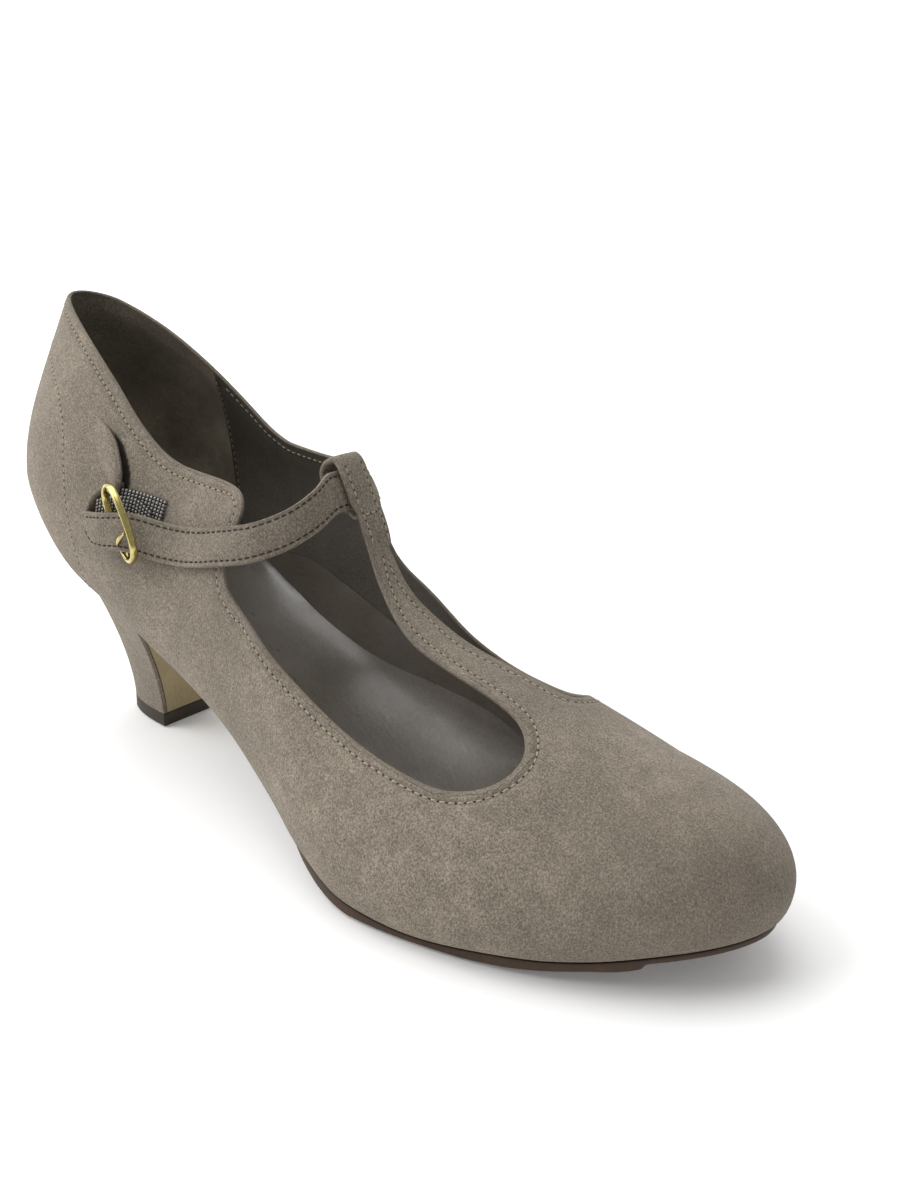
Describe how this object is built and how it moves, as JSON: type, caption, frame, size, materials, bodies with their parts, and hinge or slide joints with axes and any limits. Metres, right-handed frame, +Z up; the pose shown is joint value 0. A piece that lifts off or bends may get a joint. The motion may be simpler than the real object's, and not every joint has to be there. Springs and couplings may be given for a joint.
{
  "type": "t-strap heeled shoe",
  "caption": "Suede T-strap court shoe for the right foot: hollow upper with side cut-outs, ankle strap with buckle, thin sole and curved covered heel.",
  "frame": {"origin": "bottom centre of the bounding box, on the floor that the heel and the forefoot stand on", "axes": "+X to the toe, +Y to the medial side, -Y to the lateral side with the buckle, +Z up"},
  "size_m": [0.249, 0.0848, 0.1255],
  "materials": {
    "upper": "matte suede",
    "insole": "satin lining leather",
    "outsole": "matte",
    "heel_block": "matte, with a smooth breast panel",
    "heel_cover": "matte suede",
    "heel_top_lift": "matte",
    "ankle_strap": "matte suede",
    "elastic_tab": "woven check",
    "buckle_frame": "polished",
    "buckle_prong": "polished"
  },
  "bodies": {
    "root": {"upper": "upper", "insole": "insole", "outsole": "outsole", "heel_block": "heel_block", "heel_cover": "heel_cover", "heel_top_lift": "heel_top_lift", "ankle_strap": "ankle_strap", "elastic_tab": "elastic_tab", "buckle_frame": "buckle_frame", "buckle_prong": "buckle_prong"}
  },
  "joints": []
}
